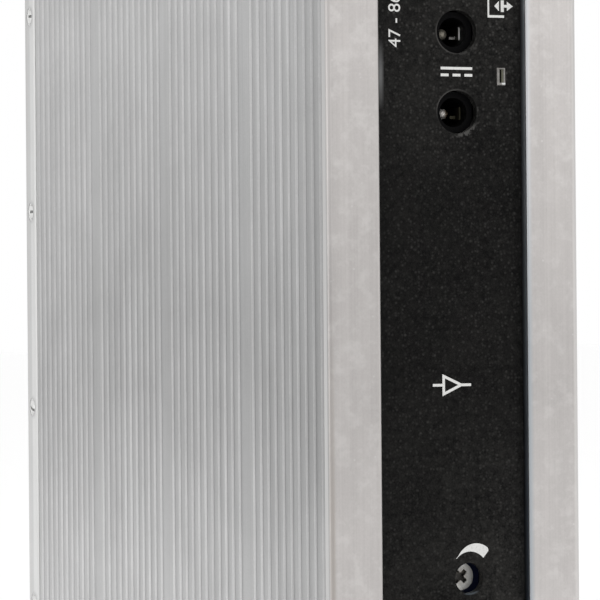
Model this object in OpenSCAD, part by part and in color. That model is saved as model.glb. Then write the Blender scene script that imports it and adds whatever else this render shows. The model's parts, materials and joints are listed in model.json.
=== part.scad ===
/* [Housing] */
// Width across both ribbed sides
housing_w = 60; // [56:0.5:70]
// Height from base to top plate
housing_h = 217; // [205:1:240]
// Depth from the front lips to the back of the rear cover
housing_d = 243; // [236:1:262]
// Thickness of a side wall between its ribs
wall_t = 3.2; // [2.6:0.1:3.6]
// Width of the plain front lip of each side
lip_w = 12.4; // [11:0.1:14]
// Thickness of the front lip
lip_t = 3; // [2.5:0.1:3.5]
// Rounding of the long front edge
corner_r = 1.1; // [0.6:0.1:1.4]
// Thickness of the top and bottom end plates
plate_t = 2; // [1.6:0.1:3]

/* [Ribs] */
// Height of a rib above the wall
rib_h = 0.5; // [0.4:0.05:0.6]
// Width of a rib at its foot
rib_w = 2.2; // [1.9:0.1:2.6]
// Rounding between the top of a rib and its sloping flanks
rib_round = 0.6; // [0.4:0.05:0.7]
// Spacing of the ribs
rib_pitch = 4.96; // [4:0.02:6]
// Ribs in one group, before a rib is left out
ribs_per_group = 11; // [8:1:14]
// Rear face to the centre of the first rib
rib_start = 14.2; // [13:0.1:18]
// Depth of the raised band along the front edge
corner_band = 3; // [2.2:0.1:3.6]

/* [Rails and channels] */
// Thickness of the rail that holds the front panel
rail_t = 1.6; // [1.2:0.1:2.5]
// Reach of that rail from the wall
rail_w = 4; // [3:0.1:6]
// Outer radius of a screw channel
channel_r = 3.2; // [2.8:0.1:3.8]
// Bore radius of a screw channel
channel_bore_r = 1.3; // [1.26:0.02:1.5]
// Width of the slit along a screw channel
channel_slit = 1.2; // [0.8:0.1:1.6]
// Rear face to the rear screw channel
channel_inset = 16; // [14:0.5:24]

/* [Front panel] */
// Thickness of the recessed panel
panel_t = 2; // [1.5:0.1:2.5]
// Clearance of the panel in its groove, each face
groove_clear = 0.1; // [0.05:0.01:0.2]
// Radius of a power socket hole
dc_hole_r = 4.8; // [4.5:0.1:5.2]
// Radius of the trimmer hole
trim_hole_r = 3.4; // [3.3:0.05:4]

/* [Rear cover] */
// Sheet thickness of the rear cover
cover_t = 1.5; // [1.2:0.1:1.8]
// Reach of the cover flanges along the sides
cover_lip = 11; // [10:0.5:12]
// Outer bend radius of the cover
bend_r = 2.4; // [2:0.1:3]
// Spacing of the cover screws
cover_screw_pitch = 56; // [50:0.5:58]
// Rear face to the cover screws
cover_screw_inset = 6.4; // [5.4:0.1:6.8]
// Length of a cover screw
cover_screw_l = 6; // [5:0.5:8]
// Spacing of the rear threaded inserts across the width
insert_dx = 26; // [20:1:30]
// Spacing of the rear threaded inserts along the height
insert_dz = 150; // [120:1:170]

/* [Power sockets] */
// Offset of the socket axes from the middle of the panel
dc_x = 2.2; // [1.5:0.1:3]
// Top of the housing to the upper socket
dc_drop = 47.2; // [45:0.1:49]
// Spacing of the two sockets
dc_pitch = 17.8; // [16:0.1:20]
// Socket axis above the board
dc_axis_h = 6.5; // [6:0.1:7]
// Socket body height above the board
dc_body_h = 11; // [10.5:0.1:12]
// Socket body length
dc_body_l = 14.4; // [13.5:0.1:16]
// Socket body width
dc_body_w = 9; // [8.6:0.1:10]
// Radius of the socket mouth
dc_mouth_r = 3.25; // [3.1:0.05:3.4]
// Depth of the socket mouth
dc_mouth_depth = 11; // [10:0.1:12]
// Radius of the centre pin
dc_pin_r = 1.25; // [1:0.05:1.3]
// Pin tip behind the face of the panel
dc_tip_depth = 7.5; // [6.5:0.1:8]

/* [Status light] */
// Offset of the light from the middle of the panel
led_x = 12.9; // [12:0.1:13.5]
// Upper socket down to the light
led_drop = 9.8; // [8.5:0.1:11]
// Width of the lens
led_w = 2; // [1.6:0.1:2.4]
// Height of the lens
led_h = 3.9; // [3:0.1:4.5]

/* [Level trimmer] */
// Offset of the trimmer axis from the middle of the panel
trim_x = 4.2; // [3.6:0.1:5]
// Height of the trimmer axis above the base
trim_z = 48.6; // [46:0.1:54]
// Trimmer face behind the face of the panel
trim_depth = 5; // [4:0.1:5.6]
// Radius of the rotor
rotor_r = 3.1; // [2.8:0.05:3.2]
// Running clearance round the rotor
rotor_clear = 0.05; // [0.03:0.01:0.1]
// Width of the trimmer housing
trim_w = 10; // [9.8:0.1:11]
// Length of the cross slot
cross_l = 3.6; // [3:0.1:4.4]
// Width of the cross slot
cross_w = 1.1; // [0.8:0.1:1.3]
// Depth of the cross slot
cross_d = 1.2; // [0.8:0.1:1.4]

/* [Coaxial connectors] */
// Radius of the connector thread
f_thread_r = 4.76; // [4.7:0.01:4.8]
// Thread length in front of the panel
f_thread_l = 11; // [10:0.1:13]
// Top of the housing to the input connector
f_input_drop = 23; // [21:0.5:26]
// Height of the output connector above the base
f_output_z = 23; // [21:0.5:28]
// Across flats of the nut
f_nut_af = 11; // [10.8:0.1:12]
// Thickness of the nut
f_nut_t = 2.4; // [2:0.1:3]
// Thickness of the washer
f_washer_t = 0.6; // [0.4:0.1:0.8]

/* [Board] */
// Thickness of the circuit board
board_t = 1.6; // [1.2:0.1:2]
// Length of the board from front to rear
board_l = 172; // [150:1:190]
// Clearance of the board from the end plates
board_end_gap = 8; // [7:0.5:9]
// Height of the cover round the signal stages
shield_h = 14; // [12:0.5:18]
// Height of the amplifier module cap
cap_h = 11; // [9:0.5:12]

/* [Hidden] */
$fn = 48;

// Shell
half_w = housing_w / 2;
y_front = -housing_d / 2;
y_back = housing_d / 2;
skin = rib_h + wall_t;
inner_x = half_w - skin;
shell_h = housing_h - 2 * plate_t;
lip_edge_r = 0.5;
arc_steps = 6;
rib_steps = 3;
cut = 1;

// Plain strip kept between the corner band and the first rib
rib_land = 0.5;

// Front panel and the rail behind it
panel_front = y_front + lip_t + groove_clear;
panel_back = panel_front + panel_t;
rail_front = panel_back + groove_clear;
rail_back = rail_front + rail_t;
panel_half_w = inner_x - groove_clear;

// Screw channels, with their centres just off the wall
channel_s = skin + channel_r - 0.8;
channel_ys = [rail_back + channel_r - 0.6, y_back - channel_inset];
end_screw_r = 1.2;
end_screw_head_r = 2.6;
end_screw_l = 10;

// Cover screws and the chamfer along the edge of each flange
seat_gap = 0.2;
cover_edge = 0.4;
cover_screw_r = 1.25;
cover_screw_head_r = 2.05;
cover_screw_dome = 0.8;
cover_screw_sink = 0.4;
cover_screw_turns = [-40, -28, 0, 0];
tap_clear = 0.05;
cover_screw_count = 4;
cover_screw_zs = [
    for (i = [0 : cover_screw_count - 1])
        housing_h / 2 + (i - (cover_screw_count - 1) / 2) * cover_screw_pitch
];
cover_screw_y = y_back - cover_screw_inset;

// Rear inserts, an M4 thread in each
insert_bore_r = 1.65;
insert_collar_r = 3;
insert_body_r = 4;
insert_body_l = 4;

// Board, with the components on its right face
board_face = dc_x - dc_axis_h;
board_back = board_face - board_t;
board_y0 = panel_back + 1.5;
board_y1 = board_y0 + board_l;
board_z0 = plate_t + board_end_gap;
board_z1 = housing_h - plate_t - board_end_gap;
pillar_r = 3;
pillar_inset = 7;
stud_r = 1.45;
stud_l = 2.2;
stud_clear = 0.05;
board_hole_r = 1.6;
board_screw_l = 6;
pan_head_r = 2.75;
pan_head_h = 1.9;
pillar_yz = [
    for (y = [board_y0 + pillar_inset + 12, board_y1 - pillar_inset])
        for (z = [board_z0 + pillar_inset, housing_h / 2, board_z1 - pillar_inset])
            [y, z]
];

// Amplifier modules, flange against the left wall
module_setback = 58;
module_y = board_y0 + module_setback;
module_spacing = 86;
module_zs = [housing_h / 2 - module_spacing / 2, housing_h / 2 + module_spacing / 2];
module_l = 44.6;
module_w = 13.8;
module_flange_t = 4;
module_ear = 8.8;
module_screw_edge = 3.25;
module_cap_l = module_l - 2 * module_ear;
module_screw_dz = module_l - 2 * module_screw_edge;
pad_t = 0.3;
lead_r = 0.25;
lead_hole_r = 0.4;
lead_pitch = 2.54;
lead_count = 7;
lead_proud = 1;
flange_x = -inner_x + pad_t;
cap_x = flange_x + module_flange_t;
cap_top_x = cap_x + cap_h;

// Shield round the signal stages
shield_t = 0.5;
shield_reach = 28;
shield_end_gap = 24;
shield_y = [module_y - shield_reach, module_y + shield_reach];
shield_z = [board_z0 + shield_end_gap, board_z1 - shield_end_gap - shield_end_gap / 4];
lid_t = 0.4;
lid_skirt = 4;
lid_fit = 0.1;

// Board components, as places on the board
transformer_y = module_y + shield_reach / 2;
transformer_pitch = 25;
transformer_yz = [for (i = [-1 : 1]) [transformer_y, housing_h / 2 + i * transformer_pitch]];
transformer_size = [5, 8, 10];
transformer_bore_r = 1.1;
rear_field_gap = 22;
rear_field_y = shield_y[1] + rear_field_gap;
rear_field_z = board_z0 + 2 * shield_end_gap;
capacitor_pitch = 16;
capacitor_yz = [
    [rear_field_y, rear_field_z],
    [rear_field_y, rear_field_z + capacitor_pitch],
    [rear_field_y, board_z1 - shield_end_gap]
];
capacitor_r = 6.3;
capacitor_h = 20;
capacitor_crimp = 0.5;
inductor_pitch = 20;
inductor_z = rear_field_z + 2.5 * capacitor_pitch;
inductor_yz = [[rear_field_y, inductor_z], [rear_field_y, inductor_z + inductor_pitch]];
inductor_w = 12;
inductor_diag = 14;
inductor_h = 7;
chip_z = inductor_z + 2.25 * inductor_pitch;
chip_size = [2.3, 10, 10];

// Power sockets
dc_zs = [housing_h - dc_drop, housing_h - dc_drop - dc_pitch];
socket_y = panel_back + 0.3;
dc_pin_fit = 0.03;
dc_pin_tail = 1.5;
leaf_w = 2.9;
leaf_t = 0.4;
leaf_l = 7;
leaf_start = 3;
leaf_x = dc_mouth_r - 0.55;
leaf_clear = 0.1;
finger_reach = 1.35;
finger_w = 0.7;
finger_drop = 0.8;
finger_start = 5;

// Status light
led_z = dc_zs[0] - led_drop;
led_clear = 0.1;
led_proud = 0.2;
led_lens_l = 7;
led_base = [3, 1.4, 5];
led_lead = 0.5;
led_lead_gap = 2.54;
led_lead_run = 2;
led_y0 = panel_front - led_proud;
led_base_y = led_y0 + led_lens_l;
spacer_y = panel_back + 1;
spacer_w = 5.4;

// Level trimmer
rotor_y = panel_front + trim_depth;
rotor_nose = 1.2;
trim_wall = 1.2;
disc_t = 1.5;
disc_r = 4;
disc_clear = 0.15;
trim_y = rotor_y + rotor_nose;
trim_cavity_y = trim_y + trim_wall;
trim_rear_y = trim_cavity_y + disc_t + 2 * disc_clear;
track_t = 1;
track_margin = 0.2;
cross_turn = 45;
cross_core_r = 0.9;

// Coaxial connectors
f_x = dc_x;
f_zs = [housing_h - f_input_drop, f_output_z];
f_hole_clear = 0.15;
f_front = panel_front - f_thread_l;
f_bore_r = 3.2;
f_lead_in = 0.5;
f_neck_depth = 0.36;
f_neck_r = f_thread_r - f_neck_depth;
f_bore_fit = 0.02;
f_block_w = 12;
f_block_l = 10;
f_block_top = f_x + f_block_w / 2;
f_insulator_recess = 0.6;
f_contact_r = 0.9;
f_contact_bore_r = 0.5;
f_contact_recess = 1.2;
f_contact_tail = 3;
f_tail_y = panel_back + f_block_l + f_contact_tail;
f_nut_front = panel_front - f_washer_t - f_nut_t;
f_washer_r = 7;
nut_clear = 0.05;

ALUMINIUM = [0.76, 0.75, 0.74];
SHEET = [0.8, 0.8, 0.79];
PANEL_BLACK = [0.11, 0.11, 0.11];
STEEL = [0.7, 0.7, 0.68];
NICKEL = [0.78, 0.76, 0.7];
BLACK_PLASTIC = [0.07, 0.07, 0.07];
CREAM_PLASTIC = [0.82, 0.8, 0.74];
BLUE_PLASTIC = [0.1, 0.14, 0.28];
WHITE_PLASTIC = [0.92, 0.92, 0.9];
BOARD_GREEN = [0.1, 0.35, 0.2];
TIN = [0.8, 0.8, 0.8];
BRASS = [0.78, 0.65, 0.35];
FERRITE = [0.2, 0.2, 0.21];

// Points of an arc, as [s, y]
function arc(cs, cy, r, a0, a1, steps = arc_steps) = [
    for (i = [0 : steps])
        let (a = a0 + (a1 - a0) * i / steps)
            [cs + r * cos(a), cy + r * sin(a)]
];

// One rib with flanks at 45 degrees that round over into its top, from front to rear
function rib(y) = let (reach = rib_w / 2 - rib_h - (sqrt(2) - 1) * rib_round) concat(
    [[rib_h, y - rib_w / 2]],
    arc(rib_round, y - reach, rib_round, 225, 180, rib_steps),
    arc(rib_round, y + reach, rib_round, 180, 135, rib_steps),
    [[rib_h, y + rib_w / 2]]
);

// Ribs sit on an even pitch from the rear, and one is left out after each group
rib_margin = corner_band + rib_w / 2 + rib_land;
rib_last = floor((housing_d - rib_start - rib_margin) / rib_pitch);
rib_ys = [
    for (k = [rib_last : -1 : 0])
        if (k % (ribs_per_group + 1) != ribs_per_group)
            y_back - rib_start - k * rib_pitch
];
seat_y = y_back - cover_lip - seat_gap;
seat_r = bend_r - cover_t + seat_gap;
profile_rear = y_back - cover_t;

// Outline of a side, s runs inward from the rib tops and y from front to rear
profile_outline = concat(
    arc(corner_r, y_front + corner_r, corner_r, 270, 180),
    [[0, y_front + corner_band], [rib_h, y_front + corner_band]],
    [for (y = rib_ys) each rib(y)],
    [[rib_h, seat_y], [cover_t, seat_y]],
    arc(cover_t + seat_r, profile_rear - seat_r, seat_r, 180, 90),
    [
        [skin, profile_rear],
        [skin, rail_back],
        [skin + rail_w, rail_back],
        [skin + rail_w, rail_front],
        [skin, rail_front],
        [skin, y_front + lip_t],
        [lip_w, y_front + lip_t]
    ],
    arc(lip_w - lip_edge_r, y_front + lip_edge_r, lip_edge_r, 0, -90)
);

// A cylinder along +X or +Y from a point
module rod_x(x, y, z, r, l) {
    translate([x, y, z]) rotate([0, 90, 0]) cylinder(r = r, h = l);
}

module rod_y(x, y, z, r, l) {
    translate([x, y, z]) rotate([-90, 0, 0]) cylinder(r = r, h = l);
}

// A block from its low corner to its high corner
module block(lo, hi) {
    translate(lo) cube(hi - lo);
}

// Countersunk screw with a cross recess or a slot, rim of the head at z = 0, shank downwards
module flat_screw(r, head_r, l, dome = 0, slotted = false) {
    recess_w = 0.8;
    recess_l = slotted ? 2 * head_r + cut : head_r * 1.2;
    recess_d = 0.8;
    crown = [for (a = [90 : -15 : 15]) [head_r * cos(a), dome * sin(a)]];
    difference() {
        rotate_extrude() polygon(concat(
            dome > 0 ? crown : [[0, 0]],
            [[head_r, 0], [head_r, -0.15], [r, r - head_r - 0.15], [r, -l], [0, -l]]
        ));
        for (a = slotted ? [90] : [0, 90])
            rotate(a) translate([-recess_l / 2, -recess_w / 2, dome - recess_d])
                cube([recess_l, recess_w, recess_d + cut]);
    }
}

// Seat of a countersunk screw in a sheet, with its mouth at z = 0
module flat_seat(r, head_r, clear, t) {
    rotate_extrude() polygon([
        [0, cut], [head_r + clear, cut], [head_r + clear, -0.15 - clear],
        [r + clear, r - head_r - 0.15 - clear], [r + clear, -t - cut], [0, -t - cut]
    ]);
}

// Pan head screw, underside of the head at z = 0 and the shank downwards
module pan_screw(r, l) {
    recess_w = 0.8;
    recess_l = 3;
    difference() {
        union() {
            cylinder(r = pan_head_r, h = pan_head_h);
            translate([0, 0, -l]) cylinder(r = r, h = l + pan_head_h / 2);
        }
        for (a = [0, 90])
            rotate(a) translate([-recess_l / 2, -recess_w / 2, pan_head_h / 2])
                cube([recess_l, recess_w, pan_head_h]);
    }
}

// A side at the left of the housing, with its screw channels and its holes for the rear cover
module side_profile() {
    difference() {
        union() {
            translate([-half_w, 0, plate_t]) linear_extrude(shell_h) polygon(profile_outline);
            for (y = channel_ys)
                translate([channel_s - half_w, y, plate_t]) cylinder(r = channel_r, h = shell_h);
        }
        for (y = channel_ys) translate([channel_s - half_w, y, plate_t - cut]) {
            cylinder(r = channel_bore_r, h = shell_h + 2 * cut);
            translate([0, -channel_slit / 2, 0])
                cube([channel_r + cut, channel_slit, shell_h + 2 * cut]);
        }
        for (z = cover_screw_zs)
            rod_x(-half_w - cut, cover_screw_y, z, cover_screw_r + tap_clear, skin + 2 * cut);
    }
}

module left_side_profile() {
    color(ALUMINIUM) difference() {
        side_profile();
        for (p = pillar_yz)
            rod_x(-inner_x - stud_l - stud_clear, p[0], p[1], stud_r + stud_clear, stud_l + cut);
        for (z = module_zs) for (side = [-1, 1])
            rod_x(-inner_x - stud_l - stud_clear, module_y, z + side * module_screw_dz / 2,
                  stud_r + stud_clear, stud_l + cut);
    }
}

module right_side_profile() {
    color(ALUMINIUM) mirror([1, 0, 0]) side_profile();
}

module front_panel() {
    color(PANEL_BLACK) difference() {
        block([-panel_half_w, panel_front, plate_t + groove_clear],
              [panel_half_w, panel_back, housing_h - plate_t - groove_clear]);
        for (z = dc_zs)
            rod_y(dc_x, panel_front - cut, z, dc_hole_r, panel_t + 2 * cut);
        rod_y(trim_x, panel_front - cut, trim_z, trim_hole_r, panel_t + 2 * cut);
        for (z = f_zs)
            rod_y(f_x, panel_front - cut, z, f_thread_r + f_hole_clear, panel_t + 2 * cut);
        block([led_x - led_w / 2 - led_clear, panel_front - cut, led_z - led_h / 2 - led_clear],
              [led_x + led_w / 2 + led_clear, panel_back + cut, led_z + led_h / 2 + led_clear]);
    }
}

// Section of the cover, a flat back with a flange along each side
function flipped(points) = [for (i = [len(points) - 1 : -1 : 0]) [-points[i][0], points[i][1]]];
cover_outer = concat(
    arc(half_w - bend_r, y_back - bend_r, bend_r, 90, 0),
    [[half_w, y_back - cover_lip + cover_edge], [half_w - cover_edge, y_back - cover_lip]]
);
cover_inner = concat(
    [[half_w - cover_t, y_back - cover_lip]],
    arc(half_w - bend_r, y_back - bend_r, bend_r - cover_t, 0, 90)
);
cover_outline = concat(cover_outer, cover_inner, flipped(cover_inner), flipped(cover_outer));

module rear_cover() {
    mid_z = housing_h / 2;
    color(SHEET) difference() {
        translate([0, 0, plate_t]) linear_extrude(shell_h) polygon(cover_outline);
        for (z = cover_screw_zs) for (side = [-1, 1])
            translate([side * half_w, cover_screw_y, z]) rotate([0, side * 90, 0])
                flat_seat(cover_screw_r, cover_screw_head_r + cover_screw_sink, tap_clear, cover_t);
        for (sx = [-1, 1]) for (sz = [-1, 1])
            rod_y(sx * insert_dx / 2, y_back - cover_t - cut, mid_z + sz * insert_dz / 2,
                  insert_collar_r + tap_clear, cover_t + 2 * cut);
    }
}

module rear_cover_screws() {
    color(STEEL) for (i = [0 : len(cover_screw_zs) - 1]) for (side = [-1, 1])
        translate([side * (half_w - cover_screw_sink), cover_screw_y, cover_screw_zs[i]])
            rotate([0, side * 90, 0]) rotate(cover_screw_turns[i])
                flat_screw(cover_screw_r, cover_screw_head_r, cover_screw_l, cover_screw_dome, true);
}

module rear_inserts() {
    inside_y = y_back - cover_t;
    color(STEEL) for (sx = [-1, 1]) for (sz = [-1, 1])
        translate([sx * insert_dx / 2, 0, housing_h / 2 + sz * insert_dz / 2]) difference() {
            union() {
                rod_y(0, inside_y - insert_body_l, 0, insert_body_r, insert_body_l);
                rod_y(0, inside_y - insert_body_l, 0, insert_collar_r, insert_body_l + cover_t);
            }
            rod_y(0, inside_y - insert_body_l - cut, 0, insert_bore_r,
                  insert_body_l + cover_t + 2 * cut);
        }
}

// Outline of an end plate, flush with the rib tops, the lips and the rear cover
module plate_section() {
    translate([-half_w, y_front]) difference() {
        square([housing_w, housing_d]);
        for (sx = [0, 1]) for (sy = [0, 1])
            translate([sx * housing_w, sy * housing_d]) rotate(45)
                square(corner_r, center = true);
    }
}

module end_plate() {
    difference() {
        linear_extrude(plate_t) plate_section();
        for (side = [-1, 1]) for (y = channel_ys)
            translate([side * (half_w - channel_s), y, 0]) mirror([0, 0, 1])
                flat_seat(end_screw_r, end_screw_head_r, tap_clear, plate_t);
    }
}

module bottom_end_plate() {
    color(SHEET) end_plate();
}

module top_end_plate() {
    color(SHEET) translate([0, 0, housing_h]) mirror([0, 0, 1]) end_plate();
}

module end_plate_screws() {
    color(STEEL) for (top = [0, 1]) for (side = [-1, 1]) for (y = channel_ys)
        translate([side * (half_w - channel_s), y, top * housing_h]) mirror([0, 0, 1 - top])
            flat_screw(end_screw_r, end_screw_head_r, end_screw_l);
}

module main_board() {
    color(BOARD_GREEN) difference() {
        block([board_back, board_y0, board_z0], [board_face, board_y1, board_z1]);
        for (p = pillar_yz)
            rod_x(board_back - cut, p[0], p[1], board_hole_r, board_t + 2 * cut);
        for (z = module_zs) for (i = [0 : lead_count - 1])
            rod_x(board_back - cut, module_y, z + (i - (lead_count - 1) / 2) * lead_pitch,
                  lead_hole_r, board_t + 2 * cut);
    }
}

// Pillars between the left wall and the board, each with a stud at its foot
module board_standoffs() {
    color(STEEL) for (p = pillar_yz) difference() {
        union() {
            rod_x(-inner_x, p[0], p[1], pillar_r, board_back + inner_x);
            rod_x(-inner_x - stud_l, p[0], p[1], stud_r, stud_l + cut);
        }
        rod_x(board_back - board_screw_l, p[0], p[1], stud_r + stud_clear, board_screw_l + cut);
    }
}

module board_screws() {
    color(STEEL) for (p = pillar_yz)
        translate([board_face, p[0], p[1]]) rotate([0, 90, 0]) pan_screw(stud_r, board_screw_l);
}

module amplifier_module(z) {
    difference() {
        union() {
            block([flange_x, module_y - module_w / 2, z - module_l / 2],
                  [cap_x, module_y + module_w / 2, z + module_l / 2]);
            block([cap_x, module_y - module_w / 2, z - module_cap_l / 2],
                  [cap_top_x, module_y + module_w / 2, z + module_cap_l / 2]);
        }
        for (side = [-1, 1])
            rod_x(flange_x - cut, module_y, z + side * module_screw_dz / 2, board_hole_r,
                  module_flange_t + 2 * cut);
    }
}

module input_module() {
    color(BLACK_PLASTIC) amplifier_module(module_zs[1]);
}

module output_module() {
    color(BLACK_PLASTIC) amplifier_module(module_zs[0]);
}

module module_leads() {
    color(TIN) for (z = module_zs) for (i = [0 : lead_count - 1])
        rod_x(cap_top_x, module_y, z + (i - (lead_count - 1) / 2) * lead_pitch, lead_r,
              board_face - cap_top_x + lead_proud);
}

module module_thermal_pads() {
    color(FERRITE) for (z = module_zs) difference() {
        block([-inner_x, module_y - module_w / 2, z - module_l / 2],
              [flange_x, module_y + module_w / 2, z + module_l / 2]);
        for (side = [-1, 1])
            rod_x(-inner_x - cut, module_y, z + side * module_screw_dz / 2, board_hole_r,
                  pad_t + 2 * cut);
    }
}

module module_screws() {
    color(STEEL) for (z = module_zs) for (side = [-1, 1])
        translate([cap_x, module_y, z + side * module_screw_dz / 2]) rotate([0, 90, 0])
            pan_screw(stud_r, module_flange_t + pad_t + stud_l);
}

module shield_frame() {
    color(TIN) difference() {
        block([board_face, shield_y[0], shield_z[0]],
              [board_face + shield_h, shield_y[1], shield_z[1]]);
        block([board_face - cut, shield_y[0] + shield_t, shield_z[0] + shield_t],
              [board_face + shield_h + cut, shield_y[1] - shield_t, shield_z[1] - shield_t]);
    }
}

module shield_lid() {
    grow = lid_fit + lid_t;
    top = board_face + shield_h;
    color(TIN) difference() {
        block([top - lid_skirt, shield_y[0] - grow, shield_z[0] - grow],
              [top + lid_t, shield_y[1] + grow, shield_z[1] + grow]);
        block([top - lid_skirt - cut, shield_y[0] - lid_fit, shield_z[0] - lid_fit],
              [top, shield_y[1] + lid_fit, shield_z[1] + lid_fit]);
    }
}

module rf_transformers() {
    color(FERRITE) for (p = transformer_yz)
        translate([board_face, p[0], p[1]]) difference() {
            translate([0, -transformer_size[1] / 2, -transformer_size[2] / 2]) cube(transformer_size);
            for (side = [-1, 1])
                rod_y(transformer_size[0] / 2, -transformer_size[1] / 2 - cut,
                      side * transformer_size[2] / 4, transformer_bore_r,
                      transformer_size[1] + 2 * cut);
        }
}

// Capacitor cans with a crimped neck near the board and a softened rim
module filter_capacitors() {
    neck_r = capacitor_r - capacitor_crimp;
    neck_x = 2 * capacitor_crimp;
    can = [
        [0, 0], [neck_r, 0], [capacitor_r, capacitor_crimp], [capacitor_r, 2 * neck_x],
        [neck_r, 2.5 * neck_x], [capacitor_r, 3 * neck_x],
        [capacitor_r, capacitor_h - capacitor_crimp], [neck_r, capacitor_h], [0, capacitor_h]
    ];
    color(BLACK_PLASTIC) for (p = capacitor_yz)
        translate([board_face, p[0], p[1]]) rotate([0, 90, 0]) rotate_extrude() polygon(can);
}

// Shielded inductors, square cores with cut corners
module power_inductors() {
    color(FERRITE) for (p = inductor_yz)
        translate([board_face, p[0], p[1]]) rotate([0, 90, 0]) intersection() {
            translate([0, 0, inductor_h / 2])
                cube([inductor_w, inductor_w, inductor_h], center = true);
            rotate(45) translate([0, 0, inductor_h / 2])
                cube([inductor_diag, inductor_diag, inductor_h], center = true);
        }
}

module converter_chip() {
    color(BLACK_PLASTIC)
        translate([board_face, rear_field_y - chip_size[1] / 2, chip_z - chip_size[2] / 2])
            cube(chip_size);
}

module dc_socket(z) {
    color(BLACK_PLASTIC) difference() {
        block([board_face, socket_y, z - dc_body_w / 2],
              [board_face + dc_body_h, socket_y + dc_body_l, z + dc_body_w / 2]);
        rod_y(dc_x, socket_y - cut, z, dc_mouth_r, dc_mouth_depth + cut);
        rod_y(dc_x, socket_y, z, dc_pin_r + dc_pin_fit, dc_body_l + cut);
        block([dc_x, socket_y + leaf_start - leaf_clear, z - leaf_w / 2 - leaf_clear],
              [dc_x + leaf_x + leaf_t, socket_y + leaf_start + leaf_l, z + leaf_w / 2 + leaf_clear]);
    }
}

module dc_socket_upper() {
    dc_socket(dc_zs[0]);
}

module dc_socket_lower() {
    dc_socket(dc_zs[1]);
}

// Pins with a round tip, turned about their own axis
module dc_centre_pins() {
    tip_y = panel_front + dc_tip_depth;
    pin_l = socket_y + dc_body_l + dc_pin_tail - tip_y;
    tip = [for (a = [-90 : 15 : 0]) [dc_pin_r * cos(a), dc_pin_r * (1 + sin(a))]];
    color(NICKEL) for (z = dc_zs)
        translate([dc_x, tip_y, z]) rotate([-90, 0, 0])
            rotate_extrude() polygon(concat(tip, [[dc_pin_r, pin_l], [0, pin_l]]));
}

// A leaf beside each pin, with a finger that reaches in towards it
module dc_spring_contacts() {
    finger_y = socket_y + finger_start;
    color(NICKEL) for (z = dc_zs) {
        block([dc_x + leaf_x, socket_y + leaf_start, z - leaf_w / 2],
              [dc_x + leaf_x + leaf_t, socket_y + leaf_start + leaf_l, z + leaf_w / 2]);
        translate([dc_x + leaf_x, finger_y, z - finger_drop])
            block([-finger_reach, 0, -finger_w / 2], [leaf_t / 2, leaf_t, finger_w / 2]);
    }
}

module status_led() {
    color(WHITE_PLASTIC) {
        block([led_x - led_w / 2, led_y0, led_z - led_h / 2],
              [led_x + led_w / 2, led_base_y + led_base[1] / 2, led_z + led_h / 2]);
        block([led_x - led_base[0] / 2, led_base_y, led_z - led_base[2] / 2],
              [led_x + led_base[0] / 2, led_base_y + led_base[1], led_z + led_base[2] / 2]);
    }
}

module led_spacer() {
    color(BLACK_PLASTIC)
        block([board_face, spacer_y, led_z - spacer_w / 2],
              [led_x - led_w / 2, led_base_y, led_z + spacer_w / 2]);
}

module led_leads() {
    base_back = led_base_y + led_base[1];
    bend_y = base_back + led_lead_run;
    color(TIN) for (side = [-1, 1])
        translate([0, 0, led_z + side * led_lead_gap / 2 - led_lead / 2]) {
            block([led_x - led_lead / 2, base_back, 0],
                  [led_x + led_lead / 2, bend_y + led_lead, led_lead]);
            block([board_face, bend_y, 0], [led_x + led_lead / 2, bend_y + led_lead, led_lead]);
        }
}

module trimmer_housing() {
    half = trim_w / 2;
    color(BLUE_PLASTIC) difference() {
        block([board_face, trim_y, trim_z - half], [trim_x + half, trim_rear_y, trim_z + half]);
        rod_y(trim_x, trim_y - cut, trim_z, rotor_r + rotor_clear, trim_wall + 2 * cut);
        rod_y(trim_x, trim_cavity_y, trim_z, disc_r + disc_clear, trim_rear_y - trim_cavity_y + cut);
    }
}

// Rotor with a cross slot in its nose, and the disc that the housing holds
module trimmer_rotor() {
    nose_l = rotor_nose + trim_wall + 2 * disc_clear;
    color(CREAM_PLASTIC) difference() {
        union() {
            rod_y(trim_x, rotor_y, trim_z, rotor_r, nose_l);
            rod_y(trim_x, trim_cavity_y + disc_clear, trim_z, disc_r, disc_t);
        }
        translate([trim_x, rotor_y, trim_z]) for (a = [0, 90])
            rotate([0, cross_turn + a, 0]) translate([-cross_l / 2, -cut, -cross_w / 2])
                cube([cross_l, cross_d + cut, cross_w]);
        rod_y(trim_x, rotor_y - cut, trim_z, cross_core_r, cross_d + cut);
    }
}

module trimmer_track() {
    half = trim_w / 2 - track_margin;
    color(WHITE_PLASTIC)
        block([board_face, trim_rear_y, trim_z - half],
              [trim_x + half, trim_rear_y + track_t, trim_z + half]);
}

// Threaded barrel through the panel, with a neck for its nut, on a block that stands on the board
module f_connector(z) {
    half = f_block_w / 2;
    barrel_l = panel_back - f_front + cut;
    free_l = f_nut_front - f_front;
    color(NICKEL) difference() {
        union() {
            translate([f_x, f_front, z]) rotate([-90, 0, 0]) rotate_extrude() polygon([
                [0, 0], [f_thread_r - f_lead_in, 0], [f_thread_r, f_lead_in], [f_thread_r, free_l],
                [f_neck_r, free_l], [f_neck_r, barrel_l], [0, barrel_l]
            ]);
            block([board_face, panel_back, z - half],
                  [f_block_top, panel_back + f_block_l, z + half]);
        }
        rod_y(f_x, f_front - cut, z, f_bore_r, panel_back + f_block_l - f_front + 2 * cut);
    }
}

module f_connector_input() {
    f_connector(f_zs[0]);
}

module f_connector_output() {
    f_connector(f_zs[1]);
}

module f_insulators() {
    y0 = f_front + f_insulator_recess;
    l = panel_back + f_block_l - y0;
    color(WHITE_PLASTIC) for (z = f_zs) difference() {
        rod_y(f_x, y0, z, f_bore_r - f_bore_fit, l);
        rod_y(f_x, y0 - cut, z, f_contact_r + f_bore_fit, l + 2 * cut);
    }
}

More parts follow.
